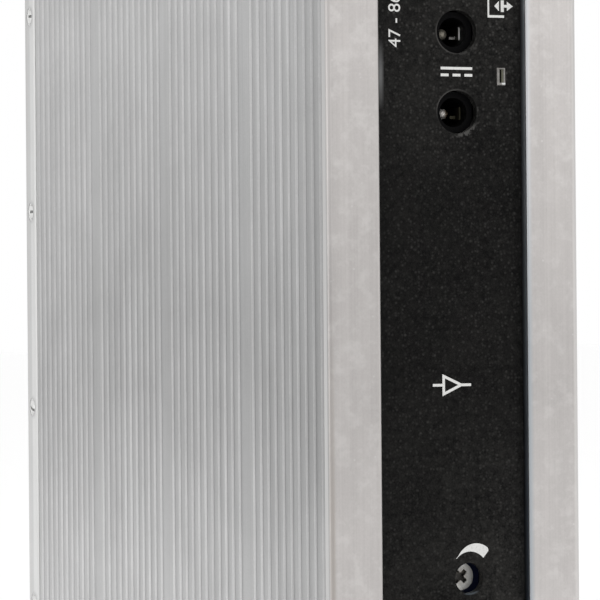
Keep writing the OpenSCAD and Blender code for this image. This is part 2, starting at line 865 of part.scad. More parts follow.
// Tubular contacts, with a tail that drops to the board
module f_contacts() {
    y0 = f_front + f_insulator_recess + f_contact_recess;
    socket_l = f_thread_l - f_contact_recess;
    color(BRASS) for (z = f_zs) difference() {
        union() {
            rod_y(f_x, y0, z, f_contact_r, f_tail_y - y0);
            block([board_face, f_tail_y - 2 * f_contact_r, z - f_contact_r / 2],
                  [f_x, f_tail_y - f_contact_r, z + f_contact_r / 2]);
        }
        rod_y(f_x, y0 - cut, z, f_contact_bore_r, socket_l + cut);
    }
}

module f_nuts() {
    color(NICKEL) for (z = f_zs) difference() {
        translate([f_x, f_nut_front, z]) rotate([-90, 0, 0])
            cylinder(r = f_nut_af / sqrt(3), h = f_nut_t, $fn = 6);
        rod_y(f_x, f_nut_front - cut, z, f_neck_r + nut_clear, f_nut_t + 2 * cut);
    }
}

module f_washers() {
    color(STEEL) for (z = f_zs) difference() {
        rod_y(f_x, panel_front - f_washer_t, z, f_washer_r, f_washer_t);
        rod_y(f_x, panel_front - f_washer_t - cut, z, f_thread_r + f_hole_clear, f_washer_t + 2 * cut);
    }
}

left_side_profile();
right_side_profile();
front_panel();
rear_cover();
rear_cover_screws();
rear_inserts();
top_end_plate();
bottom_end_plate();
end_plate_screws();
main_board();
board_standoffs();
board_screws();
input_module();
output_module();
module_leads();
module_thermal_pads();
module_screws();
shield_frame();
shield_lid();
rf_transformers();
filter_capacitors();
power_inductors();
converter_chip();
dc_socket_upper();
dc_socket_lower();
dc_centre_pins();
dc_spring_contacts();
status_led();
led_spacer();
led_leads();
trimmer_housing();
trimmer_rotor();
trimmer_track();
f_connector_input();
f_connector_output();
f_insulators();
f_contacts();
f_nuts();
f_washers();
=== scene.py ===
import json
import math

import bmesh
import bpy
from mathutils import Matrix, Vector


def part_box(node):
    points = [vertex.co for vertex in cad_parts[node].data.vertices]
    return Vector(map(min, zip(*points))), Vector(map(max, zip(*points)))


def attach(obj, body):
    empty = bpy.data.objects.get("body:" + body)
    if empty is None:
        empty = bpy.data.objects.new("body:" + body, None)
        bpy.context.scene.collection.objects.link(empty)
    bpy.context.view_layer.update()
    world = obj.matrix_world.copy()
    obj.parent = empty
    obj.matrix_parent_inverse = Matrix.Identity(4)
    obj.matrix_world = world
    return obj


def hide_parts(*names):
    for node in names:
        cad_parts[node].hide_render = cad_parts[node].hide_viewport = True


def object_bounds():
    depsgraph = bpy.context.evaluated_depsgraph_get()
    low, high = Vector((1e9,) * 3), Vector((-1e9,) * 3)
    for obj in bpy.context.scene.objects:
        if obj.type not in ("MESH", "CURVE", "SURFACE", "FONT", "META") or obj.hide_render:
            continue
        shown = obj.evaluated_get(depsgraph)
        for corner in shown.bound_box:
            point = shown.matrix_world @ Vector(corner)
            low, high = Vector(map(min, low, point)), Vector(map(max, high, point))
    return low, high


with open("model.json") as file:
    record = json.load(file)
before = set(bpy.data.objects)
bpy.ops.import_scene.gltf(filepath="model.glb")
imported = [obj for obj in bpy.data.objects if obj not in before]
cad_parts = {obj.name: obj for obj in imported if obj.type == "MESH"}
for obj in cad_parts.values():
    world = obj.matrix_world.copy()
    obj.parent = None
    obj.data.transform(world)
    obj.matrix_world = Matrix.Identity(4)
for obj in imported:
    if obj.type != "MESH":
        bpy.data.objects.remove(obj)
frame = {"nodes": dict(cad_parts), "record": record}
cad_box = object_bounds()

MM = 0.001
BODY = "housing"
WHITE = (1.0, 1.0, 1.0)

# Camera of the photograph: a long lens, level, to the left of the front
SENSOR = 36.0
LENS = 189.6
CAMERA_AT = Vector((-277.2, -761.5, 110.6)) * MM
CAMERA_TURN = math.radians(20.607)
CAMERA_ROLL = 0.0083


def centre(node):
    lo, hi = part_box(node)
    return (lo + hi) / 2


# Places and sizes that the frame gives
SIDE_X = cad_box[1].x
BACK_Y = cad_box[1].y
TOP_Z = cad_box[1].z
PROFILE_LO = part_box("left_side_profile")[0]
LIP_Y = PROFILE_LO.y
PANEL_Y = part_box("front_panel")[0].y
PANEL_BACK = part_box("front_panel")[1].y
COVER_LO, COVER_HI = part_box("rear_cover")
PLATE_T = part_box("bottom_end_plate")[1].z - cad_box[0].z
DC_X = centre("dc_centre_pins").x
DC_UPPER_Z = centre("dc_socket_upper").z
DC_LOWER_Z = centre("dc_socket_lower").z
DC_MIDDLE_Z = (DC_UPPER_Z + DC_LOWER_Z) / 2
TRIMMER = centre("trimmer_rotor")
LED_LO, LED_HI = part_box("status_led")

# Sizes that the frame doesn't give
DC_HOLE_R = 4.8 * MM
TRIM_HOLE_R = 3.4 * MM
LIP_W = 12.4 * MM
LIP_EDGE_X = -PROFILE_LO.x - LIP_W
SCREW_PITCH = 56.0 * MM
LENS_W = 2.0 * MM
LENS_H = 3.9 * MM
INK_T = 0.03 * MM

# Widths of the solids' softened edges
BROAD_EDGE = 0.25 * MM
FINE_EDGE = 0.15 * MM
SCREW_EDGE = 0.08 * MM

# The height at which the painted shade on the metal is deepest, how far from it that fades, and the run
# from front to back
DARK_Z = 98.0 * MM
DARK_FADE = (10 * MM, 85 * MM)
SIDE_RUN = (-100 * MM, 60 * MM)

# How far each way from its middle a noise counts, in drawn metal, in plating and in grain
DRAWN = 0.12
CLOUDED = 0.16
GRAINY = 0.20

# Sockets of the Mix node when it mixes colours
MIX_FACTOR, MIX_LOW, MIX_HIGH, MIX_RESULT = 0, 6, 7, 2


class Graph:
    """A material's node tree, with short calls for the nodes used here."""

    def __init__(self, name):
        self.material = bpy.data.materials.new(name)
        self.material.use_nodes = True
        self.tree = self.material.node_tree
        self.shader = self.tree.nodes["Principled BSDF"]
        self.place = self.add("ShaderNodeTexCoord").outputs["Object"]
        self.x, self.y, self.z = self.add("ShaderNodeSeparateXYZ", {0: self.place}).outputs

    def add(self, kind, inputs=None, **settings):
        node = self.tree.nodes.new(kind)
        for key, value in settings.items():
            setattr(node, key, value)
        for key, value in (inputs or {}).items():
            self.put(node.inputs[key], value)
        return node

    def put(self, socket, value):
        if isinstance(value, bpy.types.NodeSocket):
            self.tree.links.new(value, socket)
        else:
            socket.default_value = value

    def surface(self, **inputs):
        """Sets the shader's sockets, named in small letters with underscores."""
        for key, value in inputs.items():
            name = key.replace("_", " ").title().replace("Ior", "IOR")
            self.put(self.shader.inputs[name], value)

    def stretched(self, x, y, z):
        return self.add("ShaderNodeMapping", {"Vector": self.place, "Scale": (x, y, z)}).outputs[0]

    def noise(self, scale, detail=3.0, roughness=0.6, place=None):
        node = self.add("ShaderNodeTexNoise", {
            "Vector": place or self.place, "Scale": scale, "Detail": detail, "Roughness": roughness,
        })
        return node.outputs["Fac"]

    def cells(self, scale):
        return self.add("ShaderNodeTexVoronoi", {"Vector": self.place, "Scale": scale}).outputs

    def dots(self, scale, near, far, contrast=2.0):
        """Soft round dots, each with a strength of its own."""
        cells = self.cells(scale)
        own = self.add("ShaderNodeSeparateColor", {0: cells["Color"]}).outputs[0]
        return self.times(self.span(cells["Distance"], far, near), self.math("POWER", own, contrast))

    def span(self, value, low, high, to_low=0.0, to_high=1.0):
        """Maps low..high to to_low..to_high, held at both ends."""
        return self.add("ShaderNodeMapRange", {
            "Value": value, "From Min": low, "From Max": high, "To Min": to_low, "To Max": to_high,
        }).outputs[0]

    def spread(self, noise, half, to_low=0.0, to_high=1.0):
        """Maps the middle of a noise, half wide each way, to to_low..to_high."""
        return self.span(noise, 0.5 - half, 0.5 + half, to_low, to_high)

    def fade(self, mask, outside, inside):
        """One value outside a mask and another inside it."""
        return self.span(mask, 0.0, 1.0, outside, inside)

    def math(self, operation, a, b=0.0):
        return self.add("ShaderNodeMath", {0: a, 1: b}, operation=operation).outputs[0]

    def chain(self, operation, value, *others):
        for other in others:
            value = self.math(operation, value, other)
        return value

    def plus(self, *values):
        return self.chain("ADD", *values)

    def minus(self, a, b):
        return self.math("SUBTRACT", a, b)

    def times(self, *values):
        """Product of values, such as masks that all have to hold."""
        return self.chain("MULTIPLY", *values)

    def most(self, *values):
        return self.chain("MAXIMUM", *values)

    def mixed(self, *parts):
        """Weighted sum of values, from pairs of weight and value."""
        return self.plus(*[self.times(value, weight) for weight, value in parts])

    def distance(self, value, place=0.0):
        return self.math("ABSOLUTE", self.minus(value, place))

    def length(self, a, b):
        return self.math("SQRT", self.plus(self.times(a, a), self.times(b, b)))

    def from_axis(self, x, z):
        """Offsets of a point from an axis along Y, and its distance, in metres."""
        dx = self.minus(self.x, x)
        dz = self.minus(self.z, z)
        return dx, dz, self.length(dx, dz)

    def blend(self, factor, low, high):
        """Mixes two colours, each a socket or three numbers."""
        node = self.add("ShaderNodeMix", data_type="RGBA")
        self.put(node.inputs[MIX_FACTOR], factor)
        for index, colour in ((MIX_LOW, low), (MIX_HIGH, high)):
            linked = isinstance(colour, bpy.types.NodeSocket)
            self.put(node.inputs[index], colour if linked else (*colour, 1.0))
        return node.outputs[MIX_RESULT]

    def shaded(self, colour, factor):
        return self.add("ShaderNodeVectorMath", {0: colour, "Scale": factor}, operation="SCALE").outputs[0]

    def bump(self, height, distance, strength):
        inputs = {"Height": height, "Distance": distance, "Strength": strength}
        return self.add("ShaderNodeBump", inputs).outputs["Normal"]


class ProfileGraph(Graph):
    """The side profiles' node tree, with distances from their edges and masks of their lips."""

    def __init__(self, name):
        super().__init__(name)
        across = self.distance(self.x)
        self.inward = self.minus(SIDE_X, across)
        self.from_edge = self.distance(across, LIP_EDGE_X)
        self.behind = self.minus(self.y, LIP_Y)
        self.on_lip = self.span(self.behind, 1.2 * MM, 0.3 * MM)
        self.on_right = self.span(self.x, -1.0 * MM, 1.0 * MM)


def scaled(colour, factor):
    return tuple(min(1.0, c * factor) for c in colour)


def drawn_tone(g):
    """Upright draw lines, wider bands, soft patches and a fine grain, as one value."""
    lines = g.stretched(2200.0, 2200.0, 14.0)
    bands = g.stretched(300.0, 300.0, 5.0)
    return g.mixed(
        (0.30, g.noise(1.0, place=lines)),
        (0.22, g.noise(1.0, detail=2.0, roughness=0.5, place=bands)),
        (0.26, g.noise(60.0, detail=5.0, roughness=0.62)),
        (0.22, g.noise(2400.0, detail=2.0)),
    )


def side_painted_light(g):
    """How pale the ribbed sides are, as painted light and shade: less at mid height, by the lip and low in
    front, more at the rear.
    """
    from_dark = g.span(g.distance(g.z, DARK_Z), *DARK_FADE, 0.86, 1.16)
    to_back = g.span(g.y, *SIDE_RUN, 0.95, 1.02)
    lip_shade = g.span(g.z, 50 * MM, 70 * MM, 0.98, 0.89)
    from_lip = g.span(g.behind, 9 * MM, 21 * MM, lip_shade, 1.0)
    low_front = g.times(g.span(g.y, -40 * MM, -90 * MM), g.span(g.z, 112 * MM, 80 * MM, 0.0, 0.08))
    upper_rear = g.times(
        g.span(g.y, 20 * MM, 100 * MM),
        g.span(g.z, 78 * MM, 98 * MM, 0.0, 0.085),
        g.span(g.z, 168 * MM, 145 * MM),
    )
    patches = g.plus(g.minus(upper_rear, low_front), 1.0)
    return g.times(from_dark, to_back, from_lip, patches)


def lip_painted_light(g):
    """How pale the lips are, as painted light and shade: less at mid height, more towards the right one's
    outer edge.
    """
    from_dark = g.span(g.distance(g.z, DARK_Z), *DARK_FADE, 0.86, 1.07)
    right = g.fade(g.on_right, 1.0, 1.035)
    outer_right = g.span(g.x, SIDE_X - 7.0 * MM, SIDE_X - 1.5 * MM, 1.0, 1.07)
    return g.times(from_dark, right, outer_right)


def rear_seam(g, colour):
    """A pale line in front of the cover's flange, and a paler strip at its foot and on the seat under it,
    both painted light in the corner where shade falls.
    """
    painted_shading, bare_and_painted_light = (0.52, 0.52, 0.515), (0.85, 0.85, 0.845)
    before_flange = g.minus(COVER_LO.y, g.y)
    # Painted light: these two paler colours cancel the shade in the corner before the flange
    colour = g.blend(g.span(before_flange, 1.3 * MM, 0.3 * MM), colour, painted_shading)
    return g.blend(g.span(before_flange, 0.27 * MM, 0.23 * MM), colour, bare_and_painted_light)


def corner_painted_light(g, colour):
    """Painted light on the front corners: a dull line of painted shade low by the left corner, and pale
    rims and bands of painted highlight round both, palest on the right.
    """
    corner_shade, corner_highlight = (0.33, 0.305, 0.285), (0.47, 0.45, 0.44)
    band_highlight, right_corner_highlight = (0.49, 0.485, 0.48), (0.55, 0.54, 0.53)
    dull = g.times(
        g.on_lip,
        g.fade(g.on_right, 1.0, 0.0),
        g.span(g.inward, 1.9 * MM, 1.3 * MM),
        g.span(g.inward, 0.4 * MM, 0.7 * MM),
        g.span(g.z, 115 * MM, 65 * MM, 0.0, 0.8),
    )
    colour = g.blend(dull, colour, corner_shade)
    rim = g.times(g.on_lip, g.span(g.inward, 1.6 * MM, 1.0 * MM), g.span(g.z, 115 * MM, 155 * MM))
    colour = g.blend(rim, colour, corner_highlight)
    band = g.times(
        g.span(g.inward, 1.0 * MM, 0.6 * MM),
        g.span(g.behind, 3.2 * MM, 3.0 * MM),
        g.span(g.behind, 0.8 * MM, 1.2 * MM),
    )
    colour = g.blend(band, colour, band_highlight)
    right_corner = g.times(
        g.on_right,
        g.span(g.inward, 1.8 * MM, 0.9 * MM),
        g.span(g.behind, 2.2 * MM, 1.2 * MM),
    )
    return g.blend(right_corner, colour, right_corner_highlight)


def edge_painted_highlight(g, colour):
    """Painted highlights on the inner edges of the lips, wider and bluish on the right."""
    left_edge = (0.42, 0.405, 0.395)
    right_low, right_high = (0.335, 0.355, 0.375), (0.50, 0.505, 0.52)
    width = g.fade(g.on_right, 0.75 * MM, 1.3 * MM)
    lit_edge = g.times(g.on_lip, g.span(g.from_edge, width, 0.4 * MM))
    right_edge = g.blend(g.span(g.z, 100 * MM, 150 * MM), right_low, right_high)
    return g.blend(lit_edge, colour, g.blend(g.on_right, left_edge, right_edge))


def inner_wall(g, colour):
    """The lips' inner walls, in a bluish painted shade that deepens towards the panel."""
    low, high = (0.27, 0.31, 0.38), (0.47, 0.50, 0.54)
    on_wall = g.times(g.span(g.from_edge, 0.06 * MM, 0.03 * MM), g.span(g.behind, 0.5 * MM, 0.7 * MM))
    shade = g.blend(g.span(g.z, 45 * MM, 130 * MM), low, high)
    depth = g.span(g.behind, 0.7 * MM, PANEL_Y - LIP_Y, 1.38, 0.35)
    return g.blend(on_wall, colour, g.shaded(shade, g.times(depth, depth)))


def extruded_finish():
    """Mill-finish extrusion: neutral ribbed sides and warmer lips, with painted light and shade graded
    over both and painted highlights on the lips' corners and inner edges.
    """
    g = ProfileGraph("extruded_aluminium_finish")
    side, lip = (0.40, 0.40, 0.40), (0.42, 0.402, 0.394)
    smudge, speck = (0.50, 0.485, 0.475), (0.50, 0.49, 0.48)
    tone = drawn_tone(g)
    low = g.blend(g.on_lip, scaled(side, 0.92), scaled(lip, 0.94))
    high = g.blend(g.on_lip, scaled(side, 1.08), scaled(lip, 1.06))
    colour = g.blend(g.spread(tone, DRAWN), low, high)
    cloud = g.noise(260.0, detail=4.0, roughness=0.65)
    smudges = g.times(g.on_lip, g.span(cloud, 0.50, 0.68, 0.0, 0.6))
    colour = g.blend(smudges, colour, smudge)
    colour = g.blend(g.dots(420.0, near=0.05, far=0.13), colour, speck)
    # Painted light and shade: the graded tones of the ribbed sides and of the lips
    colour = g.shaded(colour, g.fade(g.on_lip, side_painted_light(g), lip_painted_light(g)))
    colour = edge_painted_highlight(g, corner_painted_light(g, rear_seam(g, colour)))
    # Painted light: paler low down, standing in for light from the floor
    colour = g.shaded(colour, g.span(g.z, 40 * MM, 170 * MM, 1.15, 1.05))
    colour = inner_wall(g, colour)
    rougher_up = g.span(g.z, 40 * MM, 150 * MM, -0.02, 0.11)
    rougher_back = g.span(g.y, *SIDE_RUN, -0.03, 0.03)
    weathered = g.times(g.plus(rougher_up, rougher_back), g.fade(g.on_lip, 1.0, 0.0))
    g.surface(
        base_color=colour,
        metallic=1.0,
        roughness=g.plus(g.spread(tone, DRAWN, 0.46, 0.36), weathered),
        normal=g.bump(tone, distance=0.02 * MM, strength=0.45),
    )
    return g.material


def sheet_finish():
    """Rolled sheet, brighter than the extrusion, with painted light and shade: darker towards the back of
    the flanges, paler low down, darker on the end plates, pale countersinks, darker spots round the screws
    and a paler front edge.
    """
    g = Graph("sheet_aluminium_finish")
    flat, rear_painted_shade = (0.56, 0.56, 0.555), (0.46, 0.46, 0.455)
    bare_and_painted_light, flange_edge_painted_light = (0.95, 0.95, 0.945), (0.70, 0.70, 0.695)
    tone = drawn_tone(g)
    # Painted shade: the rear of each flange darker
    near_back = g.span(g.y, BACK_Y - 7.3 * MM, BACK_Y - 6.0 * MM)
    low = g.blend(near_back, scaled(flat, 0.93), scaled(rear_painted_shade, 0.93))
    high = g.blend(near_back, scaled(flat, 1.06), scaled(rear_painted_shade, 1.06))
    colour = g.blend(g.spread(tone, DRAWN), low, high)
    from_end = g.math("MINIMUM", g.z, g.minus(TOP_Z, g.z))
    on_plate = g.span(from_end, PLATE_T + 0.1 * MM, PLATE_T - 0.1 * MM)
    # Painted light and shade: paler low down, darker on the end plates
    by_height = g.span(g.z, 40 * MM, 120 * MM, 1.26, 1.10)
    colour = g.shaded(colour, g.times(by_height, g.fade(on_plate, 1.0, 0.78)))
    along = g.minus(g.y, centre("rear_cover_screws").y)
    beside = g.math("PINGPONG", g.minus(g.z, (TOP_Z - SCREW_PITCH) / 2), SCREW_PITCH / 2)
    below_face = g.minus(COVER_HI.x, g.distance(g.x))
    # Painted light: the countersinks pale
    seat = g.times(
        g.span(g.length(along, beside), 2.75 * MM, 2.6 * MM),
        g.span(below_face, 0.02 * MM, 0.08 * MM),
    )
    colour = g.blend(seat, colour, bare_and_painted_light)
    # Painted shade: a darker spot round each screw, set towards the front
    painted_shading = g.span(g.length(g.plus(along, 1.0 * MM), beside), 3.6 * MM, 2.2 * MM)
    colour = g.shaded(colour, g.fade(painted_shading, 1.0, 0.74))
    # Painted light: the flange's front edge paler
    behind_edge = g.minus(g.y, COVER_LO.y)
    flange_edge = g.times(g.span(behind_edge, 0.65 * MM, 0.45 * MM), g.fade(on_plate, 1.0, 0.0))
    dull = g.times(g.most(flange_edge, seat), 0.6)
    g.surface(
        base_color=g.blend(flange_edge, colour, flange_edge_painted_light),
        metallic=1.0,
        roughness=g.most(dull, g.spread(tone, DRAWN, 0.36, 0.27)),
        normal=g.bump(tone, distance=0.015 * MM, strength=0.4),
    )
    return g.material


def plated_finish(name, colour, roughness):
    """Plated or turned metal with faint clouding and handling marks."""
    g = Graph(name + "_finish")
    marks = g.noise(1.0, detail=2.0, place=g.stretched(900.0, 3800.0, 900.0))
    tone = g.mixed((0.6, g.noise(420.0, detail=4.0)), (0.4, marks))
    g.surface(
        base_color=g.blend(g.spread(tone, CLOUDED), scaled(colour, 0.86), scaled(colour, 1.12)),
        metallic=1.0,
        roughness=g.spread(tone, CLOUDED, roughness + 0.07, roughness - 0.05),
        normal=g.bump(marks, distance=0.01 * MM, strength=0.4),
    )
    return g.material


def screw_finish():
    """Zinc-plated cover screws, with painted shade in their slots, dark in the upper ones and paler in the
    lower.
    """
    g = Graph("cover_screw_finish")
    dull, bright = (0.66, 0.66, 0.65), (0.78, 0.78, 0.77)
    lower_slot_shade, upper_slot_shade = (0.52, 0.52, 0.515), (0.16, 0.16, 0.158)
    tone = g.noise(900.0)
    below_head = g.minus(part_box("rear_cover_screws")[1].x, g.distance(g.x))
    in_slot = g.span(below_head, 0.55 * MM, 0.7 * MM)
    # Painted shade in the slots, deeper in the upper screws
    painted_slot_shade = g.blend(g.span(g.z, DARK_Z, DARK_Z + 20 * MM), lower_slot_shade, upper_slot_shade)
    g.surface(
        base_color=g.blend(in_slot, g.blend(g.spread(tone, CLOUDED), dull, bright), painted_slot_shade),
        metallic=1.0,
        roughness=g.spread(tone, CLOUDED, 0.42, 0.32),
    )
    return g.material


def moulded_finish(name, colour, roughness, specular=0.5, grain=1800.0, depth=0.02):
    """Moulded plastic, ceramic or rubber: a fine grain, its depth in millimetres, and changes of tone."""
    g = Graph(name + "_finish")
    skin = g.noise(grain)
    tone = g.mixed((0.45, skin), (0.55, g.noise(130.0, roughness=0.5)))
    g.surface(
        base_color=g.blend(g.spread(tone, 0.14), scaled(colour, 0.8), scaled(colour, 1.2)),
        roughness=g.spread(skin, GRAINY, roughness - 0.07, roughness + 0.07),
        specular_ior_level=specular,
        normal=g.bump(skin, distance=depth * MM, strength=0.5),
    )
    return g.material


def rotor_finish():
    """Pale moulded rotor: painted shade in its cross slot and on one arm of it, a brownish stain round it,
    and a painted highlight on one side.
    """
    g = Graph("cream_plastic_finish")
    dull_cream, cream, highlight_cream = (0.82, 0.81, 0.76), (0.92, 0.91, 0.88), (1.0, 1.0, 0.98)
    stain, deep_slot_shade, pale_slot_shade = (0.50, 0.40, 0.30), (0.022, 0.019, 0.014), (0.10, 0.09, 0.07)
    skin = g.noise(1800.0)
    dx, dz, away = g.from_axis(TRIMMER.x, TRIMMER.z)
    depth = g.minus(g.y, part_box("trimmer_rotor")[0].y)
    colour = g.blend(g.spread(skin, GRAINY), dull_cream, cream)
    ragged = g.plus(away, g.times(skin, 1.2 * MM))
    colour = g.blend(g.span(ragged, 2.6 * MM, 1.3 * MM, 0.0, 0.45), colour, stain)
    # Painted highlight: one side paler and less metallic; it turns with the rotor
    lit_side = g.span(g.mixed((-0.5, dx), (0.86, dz)), 1.3 * MM, 2.2 * MM)
    colour = g.blend(lit_side, colour, highlight_cream)
    # Painted shade in the cross slot and on the seen end of one arm of it
    slot = g.times(
        g.span(depth, 0.15 * MM, 0.6 * MM),
        g.span(depth, 1.6 * MM, 1.4 * MM),
        g.span(away, 2.5 * MM, 2.2 * MM),
    )
    dark_arm_shade = g.times(g.span(dx, -0.75 * MM, -0.95 * MM), g.span(g.distance(dz), 0.75 * MM, 0.5 * MM))
    painted_slot_shade = g.blend(g.span(dz, 0.2 * MM, 0.9 * MM), deep_slot_shade, pale_slot_shade)
    g.surface(
        base_color=g.blend(g.most(slot, dark_arm_shade), colour, painted_slot_shade),
        metallic=g.times(g.span(away, 1.8 * MM, 2.6 * MM, 0.1, 0.65), g.fade(lit_side, 1.0, 0.2)),
        roughness=g.spread(skin, GRAINY, 0.30, 0.42),
        normal=g.bump(skin, distance=0.02 * MM, strength=0.5),
    )
    return g.material


def board_finish():
    """Glass laminate under a green mask, with a faint weave and copper areas below it."""
    g = Graph("board_laminate_finish")
    over_glass, over_copper, thread = (0.012, 0.085, 0.035), (0.022, 0.15, 0.06), (0.05, 0.2, 0.09)
    threads = 5200.0
    warp = g.math("SINE", g.times(g.y, threads))
    weft = g.math("SINE", g.times(g.z, threads))
    weave = g.times(warp, weft)
    copper = g.span(g.cells(90.0)["Distance"], 0.30, 0.34)
    mask = g.blend(copper, over_glass, over_copper)
    g.surface(
        base_color=g.blend(g.span(weave, -1.0, 1.0, 0.0, 0.18), mask, thread),
        roughness=g.span(weave, -1.0, 1.0, 0.32, 0.42),
        normal=g.bump(g.mixed((1.0, copper), (0.15, weave)), distance=0.02 * MM, strength=0.5),
    )
    return g.material


def socket_wear_and_highlight(g, colour):
    """Coating scuffed through along one side of each power socket's hole, where it is also painted pale as
    the edge's highlight, and torn below it.
    """
    bare_and_painted_light = (0.075, 0.073, 0.070)
    chips = g.spread(g.noise(1000.0, roughness=0.7), DRAWN)
    # Height of the axis, direction of the scuffed side that is also painted lit, and how torn the coating
    # is
    sockets = ((DC_UPPER_Z, -0.87, -0.5, 0.35), (DC_LOWER_Z, -0.6, 0.8, 1.0))
    for axis_z, worn_x, worn_z, scuff in sockets:
        dx, dz, away = g.from_axis(DC_X, axis_z)
        outside = g.minus(away, DC_HOLE_R)
        rim = g.span(outside, 0.35 * MM, 0.1 * MM)
        worn_and_lit_side = g.span(g.mixed((worn_x, dx), (worn_z, dz)), 0.3 * DC_HOLE_R, DC_HOLE_R, 0.05, 0.8)
        torn = g.span(g.minus(outside, g.times(chips, 1.1 * MM)), 0.1 * MM, -0.3 * MM)
        below = g.span(g.mixed((0.5, dx), (-1.0, dz)), 4.5 * MM, 5.4 * MM, 0.0, scuff)
        # The scuffed rim is partly painted highlight; the torn patch below it is real wear
        colour = g.blend(g.most(g.times(rim, worn_and_lit_side), g.times(torn, below)), colour, bare_and_painted_light)
    return colour


def trimmer_rim_highlight(g, colour):
    """A bluish gleam painted on the lower rim of the trimmer's hole, as a highlight."""
    gleam = (0.075, 0.088, 0.10)
    dx, dz, away = g.from_axis(TRIMMER.x, TRIMMER.z)
    rim = g.span(g.minus(away, TRIM_HOLE_R), 0.45 * MM, 0.1 * MM)
    low = g.span(g.mixed((0.15, dx), (-1.0, dz)), 3.1 * MM, 3.5 * MM)
    return g.blend(g.times(rim, low), colour, gleam)


def panel_finish():
    """Fine-textured black coating with pale specks, painted paler towards its ends and lower right,
    scuffed round the power sockets' holes with painted highlights on their edges, a painted highlight on
    the trimmer's rim, and a painted reflection as a pale streak by the left lip.
    """
    g = Graph("panel_black_finish")
    black, grey = (0.0018, 0.0018, 0.0018), (0.0128, 0.0124, 0.0116)
    speck, streak_reflection = (0.080, 0.078, 0.074), (0.17, 0.17, 0.17)
    streak_z = 160 * MM
    texture = g.noise(2600.0, roughness=0.65)
    mottle = g.mixed((0.4, texture), (0.35, g.noise(700.0)), (0.25, g.noise(60.0, roughness=0.55)))
    colour = g.blend(g.spread(mottle, 0.10), black, grey)
    fine = g.dots(1250.0, near=0.05, far=0.50, contrast=1.3)
    coarse = g.dots(560.0, near=0.05, far=0.24, contrast=2.4)
    fainter_below = g.span(g.z, 105 * MM, 65 * MM, 1.0, 0.65)
    specks = g.times(g.most(g.times(fine, 0.35), g.times(coarse, 0.42)), fainter_below)
    colour = g.blend(specks, colour, speck)
    # Painted light: paler towards the top and bottom ends and towards the lower right
    to_ends = g.plus(g.span(g.z, 95 * MM, 45 * MM, 0.0, 0.48), g.span(g.z, 135 * MM, 165 * MM, 0.95, 1.55))
    to_right = g.times(g.span(g.x, -6 * MM, 12 * MM), g.span(g.z, 92 * MM, 48 * MM, 0.12, 0.60))
    colour = g.shaded(colour, g.times(to_ends, g.plus(to_right, 1.0)))
    colour = socket_wear_and_highlight(g, colour)
    # Painted reflection: a pale streak on the coating by the left lip
    left_streak = g.times(
        g.span(g.x, -15.2 * MM, -15.9 * MM, 0.0, 0.9),
        g.span(g.distance(g.z, streak_z), 8 * MM, 1 * MM),
    )
    colour = trimmer_rim_highlight(g, g.blend(left_streak, colour, streak_reflection))
    g.surface(
        base_color=colour,
        roughness=g.spread(texture, GRAINY, 0.46, 0.6),
        specular_ior_level=0.06,
        normal=g.bump(g.mixed((1.0, texture), (0.6, specks)), distance=0.05 * MM, strength=0.6),
    )
    return g.material


def in_lower_socket(g):
    return g.span(g.z, DC_MIDDLE_Z + 0.1 * MM, DC_MIDDLE_Z - 0.1 * MM)


def pin_finish():
    """Centre pins in painted light: the upper one dull, the lower one brighter, and browner on its right.
    """
    g = Graph("pin_nickel_finish")
    dull, bright, brown = (0.56, 0.53, 0.45), (0.98, 0.95, 0.91), (0.50, 0.39, 0.26)
    cloud = g.noise(900.0)
    rightwards = g.plus(g.minus(g.x, DC_X), g.times(cloud, 0.8 * MM))
    lower_socket_painted_shading = g.blend(g.span(rightwards, 0.5 * MM, 1.1 * MM), bright, brown)
    # Painted light: the lower pin paler than the upper one, though both are the same metal
    colour = g.blend(in_lower_socket(g), dull, lower_socket_painted_shading)
    g.surface(
        base_color=g.shaded(colour, g.spread(cloud, GRAINY, 0.85, 1.1)),
        metallic=1.0,
        roughness=g.spread(cloud, GRAINY, 0.6, 0.72),
    )
    return g.material


def leaf_finish():
    """Spring contacts in painted light and shade: bright front edges in the upper socket, dim ones below,
    a finger pale below and dark above, dark flanks.
    """
    g = Graph("leaf_nickel_finish")
    flank, lower_socket_painted_shading, bright = (0.05, 0.046, 0.036), (0.085, 0.08, 0.055), (0.92, 0.91, 0.89)
    dark_finger, pale_finger = (0.06, 0.058, 0.055), (0.42, 0.41, 0.39)
    cloud = g.noise(700.0)
    # Painted light: faces turned to the front take the edge colours, the rest the dark flank colour
    facing = g.add("ShaderNodeNewGeometry").outputs["Normal"]
    front = g.span(g.add("ShaderNodeSeparateXYZ", {0: facing}).outputs["Y"], -0.5, -0.9)
    leaf_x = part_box("dc_spring_contacts")[1].x - 0.45 * MM
    below_axis = g.minus(DC_UPPER_Z, g.z)
    # Painted highlight on the finger's lower part and painted shade above it
    finger = g.blend(g.span(below_axis, 0.60 * MM, 0.75 * MM), dark_finger, pale_finger)
    edge = g.blend(g.span(g.x, leaf_x - 0.05 * MM, leaf_x), finger, bright)
    # Painted shade: the lower socket's edges dimmer
    edge = g.blend(in_lower_socket(g), edge, lower_socket_painted_shading)
    colour = g.blend(front, flank, edge)
    g.surface(
        base_color=g.shaded(colour, g.spread(cloud, GRAINY, 0.85, 1.1)),
        metallic=1.0,
        roughness=g.spread(cloud, GRAINY, 0.5, 0.6),
    )
    return g.material


def ink_finish():
    """Screen-printed white ink, a little uneven where the coating's texture shows through."""
    g = Graph("white_ink_finish")
    thin, full = (0.60, 0.60, 0.58), (0.80, 0.80, 0.78)
    texture = g.noise(2400.0, roughness=0.65)
    g.surface(
        base_color=g.blend(g.span(texture, 0.30, 0.48), thin, full),
        roughness=g.spread(texture, GRAINY, 0.5, 0.7),
        normal=g.bump(texture, distance=0.03 * MM, strength=0.4),
    )
    return g.material


